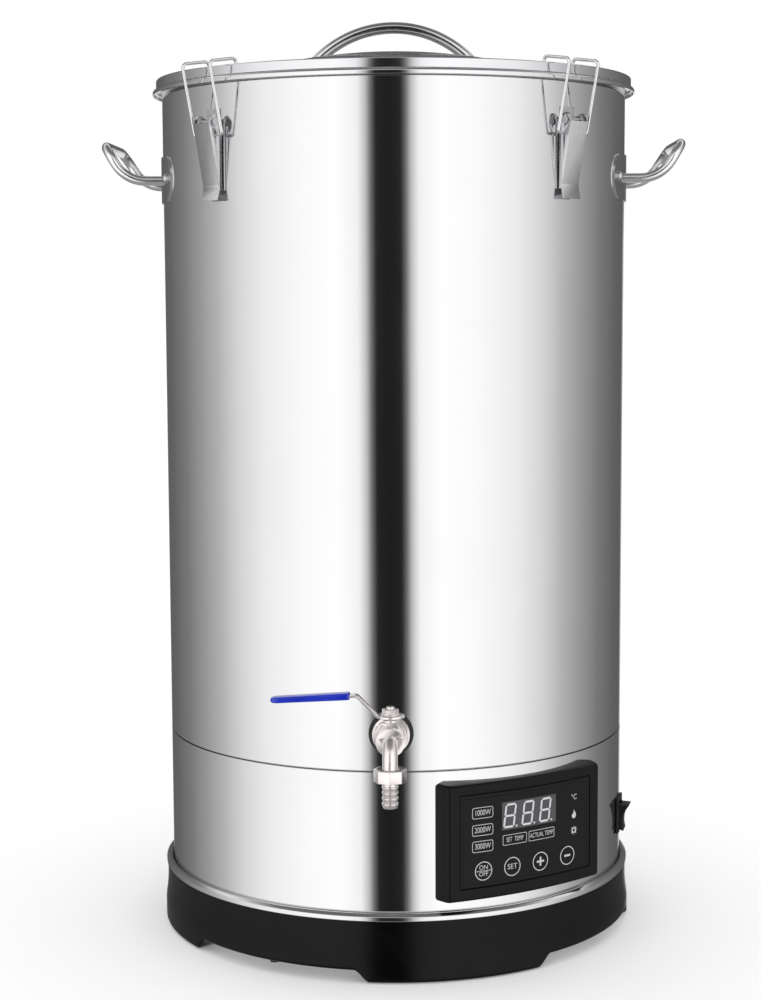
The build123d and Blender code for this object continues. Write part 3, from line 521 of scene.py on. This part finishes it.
def turned_about(points, degrees):
    """Points drawn at the front, turned about the kettle's axis."""
    c, s = np.cos(np.radians(degrees)), np.sin(np.radians(degrees))
    return np.asarray(points) @ np.array([[c, s, 0], [-s, c, 0], [0, 0, 1]])


def on_panel(across, height, set_back=0.0, lift=1.0):
    """Points on the panel: lift 1 is its bowed face less a set-back, lift 0 the skirt behind it."""
    face = FACE_OUT - (FACE_R - np.sqrt(FACE_R**2 - across**2)) - set_back
    wall = np.sqrt(WALL_R**2 - across**2) - 0.4
    out = wall + (face - wall) * lift
    return turned_about(np.stack([across, -out, height + 0 * across], -1), PANEL_AZ)


def box_ring(half, corner, across_steps=40, up_steps=20, corner_steps=8):
    """Half of a box with rounded corners, then the same turned by half a turn: across and up."""
    right, up = half[0] - corner, half[1] - corner
    a = np.linspace(0, np.pi / 2, corner_steps)
    flat_x, flat_z = np.linspace(-right, right, across_steps), np.linspace(-up, up, up_steps)
    x = np.concatenate([flat_x, right + corner * np.sin(a), half[0] + 0 * flat_z, right + corner * np.cos(a)])
    z = np.concatenate([-half[1] + 0 * flat_x, -up - corner * np.cos(a), flat_z, up + corner * np.sin(a)])
    return np.concatenate([x, -x]), np.concatenate([z, -z])


def nested_rings(name, rings, finish, like, middle):
    """Rings one inside the next, each of (half sizes, corner, middle height, set-back, lift), then closed."""
    rows = []
    for half, corner, centre, set_back, lift in rings:
        x, z = box_ring(half, corner)
        rows.append(on_panel(x, centre + z, set_back, lift))
    half, corner, centre, set_back, lift = rings[-1]
    for share in middle:
        x, z = box_ring(half, corner)
        rows.append(on_panel(x * share, centre + z * share, set_back, lift))
    points = np.array(rows)
    return made_piece(name, points, grid_faces(*points.shape[:2], False, True), finish, like)


frame_black = grained_finish("panel_frame", (0.002, 0.002, 0.0022), (0.0045, 0.0045, 0.005), 0.26, 0.4, 0.003,
                             2200.0, scuff=0.15, scuff_color=(0.03, 0.03, 0.03), Specular_IOR_Level=0.16)
w, h = FRAME_HALF
outer_edge = [((w, h), 3.0, 0.0), ((w - 0.9, h - 0.02), 3.0, 0.35), ((w - 1.7, h - 0.1), 3.0, 0.62),
              ((w - 2.5, h - 0.5), 2.9, 0.83), ((w - 3.4, h - 1.1), 2.6, 0.94),
              ((w - 4.6, h - 2.1), 2.2, 0.99), ((w - 5.8, h - 3.2), 2.0, 1.0), ((w - 7.6, h - 4.6), 1.6, 1.0)]
window_edge = [((66.4, 39.9), 1.6, 0), ((65.7, 39.2), 1.3, 0.05), ((65.3, 38.8), 1.1, 0.3),
               ((65.05, 38.55), 1.0, 0.9), ((65.05, 38.55), 1.0, 2.6)]
nested_rings("panel_frame", [(half, corner, FRAME_Z, 0, lift) for half, corner, lift in outer_edge]
             + [(half, corner, WINDOW_Z, set_back, 1.0) for half, corner, set_back in window_edge],
             frame_black, "panel_bezel", [0.5, 0.0])
smoked = grained_finish("smoked_window", (0.005, 0.005, 0.0055), (0.007, 0.007, 0.0075), 0.16, 0.26, 0.0002,
                        900.0, 10.0, 0.1, (0.03, 0.03, 0.03), Specular_IOR_Level=0.14)
cover_edge = [((64.85, 38.35), 1.0, 2.55), ((64.85, 38.35), 1.0, 1.4), ((64.6, 38.1), 0.9, 0.75),
              ((64.2, 37.7), 0.8, 0.6), ((62.4, 35.9), 0.8, 0.6), ((61.9, 35.4), 0.7, 0.75),
              ((61.5, 35.0), 0.6, WINDOW_SET_BACK), ((61.1, 34.6), 0.6, WINDOW_SET_BACK)]
nested_rings("smoked_window",
             [(half, corner, WINDOW_Z, set_back, 1.0) for half, corner, set_back in cover_edge],
             smoked, "panel_window", np.linspace(0.95, 0.0, 14))

PRINT_LIFT = 0.05  # legends lie this far in front of the window
prints, figures, glass_grey = ({"points": [], "faces": []} for sheet in range(3))


def add_flat(sheet, outline_points, faces):
    """Adds a flat shape's (across, height) points and faces to a sheet of print."""
    start = sum(len(p) for p in sheet["points"])
    sheet["points"].append(np.asarray(outline_points, float))
    sheet["faces"] += [tuple(int(start + i) for i in face) for face in faces]


def printed_band(sheet, outer, inner):
    """A line of print between two closed outlines with as many points each."""
    count = len(outer)
    faces = [(i, (i + 1) % count, count + (i + 1) % count, count + i) for i in range(count)]
    add_flat(sheet, np.vstack([outer, inner]), faces)


def circle_outline(across, height, radius, count=48):
    """Evenly spaced points round a circle."""
    a = np.linspace(0, 2 * np.pi, count, endpoint=False)
    return np.column_stack([across + radius * np.cos(a), height + radius * np.sin(a)])


def box_outline(across, height, half, corner):
    """Points round a box with rounded corners."""
    x, z = box_ring(half, corner, 8, 4, 6)
    return np.column_stack([across + x, height + z])


def bar(sheet, across, height, length, thickness):
    """A printed rectangle, cut along its length so that it follows the bow."""
    x = np.linspace(-length / 2, length / 2, 5)
    points = np.column_stack([across + np.tile(x, 2), height + np.repeat([-thickness / 2, thickness / 2], 5)])
    add_flat(sheet, points, grid_faces(2, 5))


def legend(words, across, height, size, narrowing=1.0):
    """Words in plain capitals, centred and narrowed, made a mesh before they are placed."""
    curve = bpy.data.curves.new(words, "FONT")
    curve.body, curve.size, curve.align_x, curve.align_y = words, size, "CENTER", "CENTER"
    text = bpy.data.objects.new(words, curve)
    mesh = bpy.data.meshes.new_from_object(text)
    points = np.empty(len(mesh.vertices) * 3)
    mesh.vertices.foreach_get("co", points)
    faces = [tuple(p.vertices) for p in mesh.polygons]
    add_flat(prints, points.reshape(-1, 3)[:, :2] * (narrowing, 1) + (across, height), faces)
    bpy.data.objects.remove(text)
    bpy.data.meshes.remove(mesh)
    bpy.data.curves.remove(curve)


BUTTON_Z = 90.3
BUTTON_R = 7.85
ON_X, SET_X, PLUS_X, MINUS_X = -44, -17, 11, 39.8  # the buttons' middles
for across in (ON_X, SET_X, PLUS_X, MINUS_X):
    printed_band(prints, circle_outline(across, BUTTON_Z, BUTTON_R),
                 circle_outline(across, BUTTON_Z, BUTTON_R - 0.75))
legend("ON", ON_X, BUTTON_Z + 2.8, 5.2)
legend("OFF", ON_X, BUTTON_Z - 2.6, 5.0)
bar(prints, ON_X, BUTTON_Z + 0.1, 13.6, 0.5)
legend("SET", SET_X, BUTTON_Z, 6.2)
bar(prints, PLUS_X, BUTTON_Z, 7.4, 1.7)
bar(prints, PLUS_X, BUTTON_Z, 1.7, 7.4)
bar(prints, MINUS_X, BUTTON_Z, 6.6, 1.7)
POWER_X = -44.8
for power, height in (("1000W", 138.5), ("2000W", 124.3), ("3000W", 110.8)):
    printed_band(prints, box_outline(POWER_X, height, (9.5, 4.65), 1.8),
                 box_outline(POWER_X, height, (9.0, 4.15), 1.4))
    legend(power, POWER_X, height, 6.6, 0.74)
LABEL_Z = 113
for words, across, half in (("SET  TEMP", -14.6, 11.6), ("ACTUAL TEMP", 12.2, 13.2)):
    printed_band(prints, box_outline(across, LABEL_Z, (half, 4.3), 1.0),
                 box_outline(across, LABEL_Z, (half - 0.45, 3.85), 0.7))
    legend(words, across, LABEL_Z, 5.4, 0.68)
SIGN_X, FLAME_Z, SUN_Z = 47, 124.0, 110.5
legend("°C", SIGN_X, 138.5, 6.0)
FLAME = [(0.0, 4.6), (0.9, 3.0), (2.2, 1.2), (2.8, -0.8), (2.2, -2.8), (0.9, -3.8), (0.0, -3.9), (-1.0, -3.8),
         (-2.3, -2.8), (-2.7, -1.2), (-2.2, 0.4), (-1.3, 1.0), (-1.0, -0.2), (-0.7, 1.8)]
add_flat(prints, np.array(FLAME) * 0.85 + (SIGN_X, FLAME_Z), [range(len(FLAME))])
printed_band(prints, box_outline(SIGN_X, SUN_Z, (2.3, 2.3), 0.5), box_outline(SIGN_X, SUN_Z, (1.2, 1.2), 0.3))
for x, z in circle_outline(SIGN_X, SUN_Z, 3.4, 8):
    add_flat(prints, circle_outline(x, z, 0.35, 8), [range(8)])

FIGURE_WIDE, FIGURE_TALL, BAR_WIDE, LEAN = 9.2, 18.4, 1.7, 0.13
FIGURE_PITCH = 17.6
FIGURE_MIDDLE = 133.0


def figure_bar(across, height, length, upright):
    """One bar of a figure: a six-cornered strip, pointed at both ends."""
    half, edge = length / 2, BAR_WIDE / 2
    strip = np.array([(-half, 0), (edge - half, edge), (half - edge, edge), (half, 0),
                      (half - edge, -edge), (edge - half, -edge)])
    strip = strip[:, ::-1] if upright else strip
    points = strip + (across, height)
    lean = LEAN * (points[:, 1] - FIGURE_MIDDLE)
    add_flat(figures, np.column_stack([points[:, 0] + lean, points[:, 1]]), [range(6)])


for figure in range(3):
    left = -24.0 + figure * FIGURE_PITCH
    for level in (-1, 0, 1):
        figure_bar(left + FIGURE_WIDE / 2, FIGURE_MIDDLE + level * FIGURE_TALL / 2, FIGURE_WIDE - 0.5, False)
    for side in (0, FIGURE_WIDE):
        for level in (-1, 1):
            figure_bar(left + side, FIGURE_MIDDLE + level * FIGURE_TALL / 4, FIGURE_TALL / 2 - 0.5, True)
    dot = circle_outline(left + FIGURE_WIDE + 1.7, FIGURE_MIDDLE - FIGURE_TALL / 2, 0.9, 16)
    add_flat(figures, dot, [range(16)])

x, z = np.meshgrid(np.linspace(-27, 27, 19), np.linspace(121.5, 144.6, 2))
add_flat(glass_grey, np.column_stack([x.ravel(), z.ravel()]), grid_faces(2, 19))
legend_ink = grained_finish("legend_ink", (0.50, 0.50, 0.52), (0.62, 0.62, 0.64), 0.45, 0.6, 0.001)
figure_ink = grained_finish("figure_bars", (0.60, 0.60, 0.62), (0.70, 0.70, 0.72), 0.4, 0.5, 0.001)
figure_glass = grained_finish("figure_glass", (0.050, 0.050, 0.055), (0.062, 0.062, 0.068), 0.3, 0.4, 0.001)
for name, sheet, finish, lift in (("panel_legends", prints, legend_ink, PRINT_LIFT),
                                  ("display_glass", glass_grey, figure_glass, PRINT_LIFT),
                                  ("display_figures", figures, figure_ink, 2 * PRINT_LIFT)):
    across, height = np.concatenate(sheet["points"]).T
    mesh = bpy.data.meshes.new(name)
    mesh.from_pydata((on_panel(across, height, WINDOW_SET_BACK - lift) * MM).tolist(), [], sheet["faces"])
    shape = bmesh.new()
    shape.from_mesh(mesh)
    outward = turned_about([(0, -1, 0)], PANEL_AZ)[0]
    inward = [face for face in shape.faces if np.dot(face.normal, outward) < 0]
    bmesh.ops.reverse_faces(shape, faces=inward)
    shape.to_mesh(mesh)
    shape.free()
    mesh.materials.append(finish)
    piece = bpy.data.objects.new(name, mesh)
    scene.collection.objects.link(piece)
    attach(piece, "kettle")

# ---- Rocker switch and mains inlet --------------------------------------------------------------
# Bought-in black mouldings that snap into holes in the skirt: a two-armed key in its frame to the
# right of the panel, and a three-pin inlet for a separate mains lead at the back.


def softened(name, width, finish):
    """A copy of a frame's node with its sharp edges rounded, as pressing and moulding leave them."""
    mesh = nodes[name].data.copy()
    shape = bmesh.new()
    shape.from_mesh(mesh)
    bmesh.ops.remove_doubles(shape, verts=shape.verts, dist=MERGE)
    bmesh.ops.dissolve_limit(shape, angle_limit=radians(0.6), verts=shape.verts, edges=shape.edges)
    shape.to_mesh(mesh)
    shape.free()
    mesh.materials.clear()
    mesh.materials.append(finish)
    mesh.shade_smooth()
    piece = bpy.data.objects.new(f"{name}_soft", mesh)
    scene.collection.objects.link(piece)
    edges = piece.modifiers.new("soft edges", "BEVEL")
    edges.width = width * MM
    edges.segments = 2
    edges.limit_method = "ANGLE"
    edges.angle_limit = radians(CREASE)
    edges.harden_normals = True
    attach(piece, body_of[name])
    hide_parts(name)
    return piece


switch_black = grained_finish("switch_moulding", (0.003, 0.003, 0.003), (0.006, 0.006, 0.006), 0.25, 0.4,
                              0.002, 2000.0, scuff=0.2, scuff_color=(0.04, 0.04, 0.04),
                              Specular_IOR_Level=0.3)
softened("rocker", 0.5, switch_black)
finish_nodes(switch_black, "rocker_frame", "mains_inlet_housing")
nickel = grained_finish("nickelled_brass", (0.62, 0.55, 0.36), (0.78, 0.70, 0.48), 0.18, 0.3, 0.002,
                        Metallic=1.0)
finish_nodes(nickel, "mains_inlet_pins")

# ---- Carrying handles ---------------------------------------------------------------------------
# Polished 8 mm stainless rod, bent out and up into a loop each side and welded to an oval backing
# plate, which is riveted to the kettle's wall.
HANDLE_Z = 649.5
HANDLE_ROD = 4.1
LEG = 55.0  # half the distance between a loop's two legs
LEG_FOOT, LEG_BEND, GRIP_OUT = 192.6, 226, 244.5  # from the kettle's axis
GRIP_RISE = 29.5


def rod(name, line, radius, reference, finish, like, sides=28):
    """A circle carried along a line, closed by a domed cap at each end.

    At each point the circle lies square to the line's direction. Its first axis is square to both
    that direction and a fixed reference that no part of the line runs along.
    """
    line = np.asarray(line, float)
    ahead = np.gradient(line, axis=0)
    ahead /= np.linalg.norm(ahead, axis=1)[:, None]
    first = np.cross(ahead, reference)
    first /= np.linalg.norm(first, axis=1)[:, None]
    second = np.cross(ahead, first)
    cap = np.linspace(0, 1, 5)[:-1]
    cap_size = np.sqrt(1 - (1 - cap) ** 2)
    inset = (1 - cap_size) * radius * 0.5
    centres = np.concatenate([line[0] + ahead[0] * inset[:, None], line[1:-1],
                              line[-1] - ahead[-1] * inset[::-1, None]])
    size = np.concatenate([cap_size, np.ones(len(line) - 2), cap_size[::-1]])
    pick = np.concatenate([np.zeros(len(cap), int), np.arange(1, len(line) - 1),
                           np.full(len(cap), len(line) - 1)])
    a = np.linspace(0, 2 * np.pi, sides, endpoint=False)[None, :, None]
    spokes = np.cos(a) * first[pick][:, None] + np.sin(a) * second[pick][:, None]
    points = centres[:, None] + spokes * (radius * size)[:, None, None]
    return made_piece(name, points, grid_faces(*points.shape[:2], False, True), finish, like, 60)


rod_steel = sheet_finish("rod_steel", (0.74, 0.74, 0.75), (0.84, 0.84, 0.85), 0.17, 0.26, 0.0012,
                         (260.0, 260.0, 260.0), 40.0)
leg_line = [(-LEG, -LEG_FOOT, HANDLE_Z), (-LEG, -LEG_BEND, HANDLE_Z), (-LEG, -GRIP_OUT, HANDLE_Z + GRIP_RISE)]
handle_line = rounded(leg_line + [(-x, y, z) for x, y, z in reversed(leg_line)], [30, 16, 16, 30], 12)
for side, azimuth in (("right", 90), ("left", 270)):
    loop = rod(f"handle_loop_{side}", turned_about(handle_line, azimuth), HANDLE_ROD,
               turned_about([(0, 0.85, 0.53)], azimuth)[0], rod_steel, f"handle_{side}")
    loop.visible_glossy = False
pressed_steel = sheet_finish("pressed_steel", (0.50, 0.50, 0.51), (0.62, 0.62, 0.63), 0.22, 0.34, 0.0015,
                             (300.0, 300.0, 300.0), 30.0)
finish_nodes(pressed_steel, "handle_plates", "handle_rivets")

# ---- Tap ----------------------------------------------------------------------------------------
# An investment-cast stainless ball valve, fine-blasted, screwed through the wall against a black
# washer and a locknut. Its spout turns down into an eight-sided union nut and a ridged hose tail.
cast_steel = grained_finish("cast_steel", (0.80, 0.745, 0.74), (0.95, 0.89, 0.88), 0.26, 0.38, 0.004,
                            1700.0, 90.0, 0.3, (0.9, 0.86, 0.84), Metallic=1.0)
for name, width in (("valve_body", 0.6), ("spout_elbow", 0.4), ("union_nut", 0.7), ("hose_barb", 0.35),
                    ("stem_nut", 0.4)):
    softened(name, width, cast_steel).visible_glossy = False
finish_nodes(cast_steel, "valve_stem", "valve_ball", "tap_locknut")
nodes["valve_stem"].visible_glossy = False

# ---- Tap lever ----------------------------------------------------------------------------------
# A strip of stainless cranked up from a round plate under the spindle's nut. Its far end is dipped
# in glossy blue vinyl, which is rounder at the rim and drawn thin at the tip.
STEM_OUT = 223.0
SLEEVE_X = (-94.5, -31.5)
ARM_ROOT = (-26.5, 240.4)
ARM_TIP = (-92.0, 237.0)
TIP_ROUND, RIM_ROUND = 7, 2.5  # length over which the sleeve closes at its tip and at its rim
softened("valve_lever", 0.35, cast_steel).visible_glossy = False
dipped_vinyl = grained_finish("dipped_vinyl", (0.003, 0.016, 0.38), (0.006, 0.034, 0.58), 0.16, 0.28, 0.001,
                              700.0, 45.0, 0.2, (0.03, 0.06, 0.5), Coat_Weight=0.25, Coat_Roughness=0.08)


def dipped_sleeve(stations=40, around=32):
    """A squared round section carried along the lever's slope, closing to nothing at both ends.

    The section is a superellipse of power 4. Its size along the sleeve is (1 - d**3)**(1/3), where
    d runs from 0 to 1 over the last stretch of each end, longer at the tip than at the rim.
    """
    x = SLEEVE_X[0] + (SLEEVE_X[1] - SLEEVE_X[0]) * (1 - np.cos(np.linspace(0, np.pi, stations))) / 2
    slope = (ARM_ROOT[1] - ARM_TIP[1]) / (ARM_ROOT[0] - ARM_TIP[0])
    middle = ARM_TIP[1] + slope * (x - ARM_TIP[0])
    to_tip = np.clip((SLEEVE_X[0] + TIP_ROUND - x) / TIP_ROUND, 0, 1)
    to_rim = np.clip((x - SLEEVE_X[1] + RIM_ROUND) / RIM_ROUND, 0, 1)
    size = (1 - to_tip**3) ** (1 / 3) * (1 - to_rim**3) ** (1 / 3)
    a = np.linspace(0, 2 * np.pi, around, endpoint=False)
    wide = np.sign(np.cos(a)) * np.abs(np.cos(a)) ** 0.5
    tall = np.sign(np.sin(a)) * np.abs(np.sin(a)) ** 0.5
    thin = 2.4 + 0.5 * (x - SLEEVE_X[0]) / (SLEEVE_X[1] - SLEEVE_X[0])
    points = np.stack([x[:, None] + 0 * a, -STEM_OUT + 6.0 * size[:, None] * wide,
                       middle[:, None] + (thin * size)[:, None] * tall], -1)
    return made_piece("dipped_sleeve", points, grid_faces(stations, around, False, True), dipped_vinyl,
                      "lever_sleeve", 80)


dipped_sleeve().visible_glossy = False

# ---- Lid ----------------------------------------------------------------------------------------
# One polished pressing: a low dome, a gutter where the latches hook in, and a rim turned down over
# the kettle's lip on a pale silicone ring. A bent rod on two small pads is its handle.
LID_R = 205.0
LID_TOP = 735.6
GUTTER_Z = 732.2
DOME_R = 490.0
DOME_TOP = 759.3
DOME_EDGE = 152.0
RIM_FOOT = 727.8
LID_SHEET = 0.9


def dome_z(radius):
    """Height of the dome's outer face: part of a sphere."""
    return DOME_TOP - DOME_R + np.sqrt(DOME_R**2 - radius**2)


dome = np.linspace(0, DOME_EDGE - 1.5, 40)
rim_outer = [(DOME_EDGE - 1.5, dome_z(DOME_EDGE - 1.5)), (DOME_EDGE, dome_z(DOME_EDGE)), (158.2, GUTTER_Z),
             (200.6, GUTTER_Z), (202.6, LID_TOP), (LID_R, LID_TOP), (LID_R, RIM_FOOT)]
rim_inner = [(LID_R - LID_SHEET, RIM_FOOT + LID_SHEET), (LID_R - LID_SHEET, LID_TOP), (203.1, LID_TOP),
             (201.2, GUTTER_Z), (157.8, GUTTER_Z), rim_outer[1], rim_outer[0]]
rim = rounded(rim_outer + [(r, z - LID_SHEET) for r, z in rim_inner],
              [2.0, 2.5, 0.9, 0.9, 1.2, 0.25, 0.25, 0.5, 0.4, 0.9, 2.5, 2.0])
lid_outline = np.vstack([np.column_stack([dome, dome_z(dome)])[:-1], rim,
                         np.column_stack([dome, dome_z(dome) - LID_SHEET])[-2::-1]])
lid_steel = sheet_finish("lid_steel", (0.66, 0.65, 0.67), (0.71, 0.70, 0.72), 0.08, 0.14, 0.0002)
turned_ring("lid_pressing", lid_outline, lid_steel, "lid_pan")
pale_silicone = grained_finish("pale_silicone", (0.60, 0.60, 0.58), (0.72, 0.72, 0.70), 0.4, 0.55, 0.004,
                               Subsurface_Weight=0.15)
finish_nodes(pale_silicone, "lid_gasket")
ARC_R = 93.0
ARC_Z = 689.1
GRIP_R = 5.0
lean = np.radians(np.linspace(-47.6, 47.6, 60))
grip_line = np.column_stack([ARC_R * np.sin(lean), 0 * lean, ARC_Z + ARC_R * np.cos(lean)])
grip_steel = sheet_finish("grip_steel", (0.60, 0.60, 0.61), (0.70, 0.70, 0.71), 0.1, 0.16, 0.0006,
                          (260.0, 260.0, 260.0), 40.0)
rod("lid_grip", grip_line, GRIP_R, (0, 1, 0), grip_steel, "lid_handle")
finish_nodes(pressed_steel, "lid_handle_pads")

# ---- Malt pipe ----------------------------------------------------------------------------------
# A loose inner tube of satin sheet on a flanged foot ring, between two drilled screens that hold the
# grain, with a wire bail to lift it by.
finish_nodes(satin_sheet, "malt_pipe_shell", "malt_foot_ring", "malt_bottom_screen", "malt_top_screen")
finish_nodes(rod_steel, "malt_bail")

# ---- Lid latches --------------------------------------------------------------------------------
# Four over-centre latches: a pressed bracket welded to the wall, a channel lever pinned to its ears,
# and a loop of spring wire through the lever, hooked down into the lid's gutter.
LATCHES = {"front_right": 45, "rear_right": 135, "rear_left": 225, "front_left": 315}
BAIL_PIN = (206.0, 680.5)
BAIL_WIRE = 1.3
BAIL_HALF = 17.3
BAIL_END = 8.1
HOOK_OUT = 191.0
HOOK_Z = GUTTER_Z + 0.3 + BAIL_WIRE
spring_wire = sheet_finish("spring_wire", (0.74, 0.74, 0.75), (0.84, 0.84, 0.85), 0.2, 0.3, 0.0008,
                           (400.0, 400.0, 400.0), 60.0)
out, z = BAIL_PIN
half_bail = [(BAIL_END, -out, z), (BAIL_HALF, -out, z), (BAIL_HALF, -218.2, 737.6),
             (BAIL_HALF, -HOOK_OUT, 741.6), (BAIL_HALF, -HOOK_OUT, HOOK_Z)]
bail_line = rounded(half_bail + [(-x, y, h) for x, y, h in reversed(half_bail)],
                    [3, 4, 3.2, 3, 3, 3.2, 4, 3], 8)
for place, azimuth in LATCHES.items():
    softened(f"latch_lever_{place}", 0.35, pressed_steel)
    rod(f"bail_wire_{place}", turned_about(bail_line, azimuth), BAIL_WIRE,
        turned_about([(0.6, 0.5, 0.62)], azimuth)[0], spring_wire, f"latch_bail_{place}", 16)
finish_nodes(pressed_steel, "latch_brackets", "latch_pins")
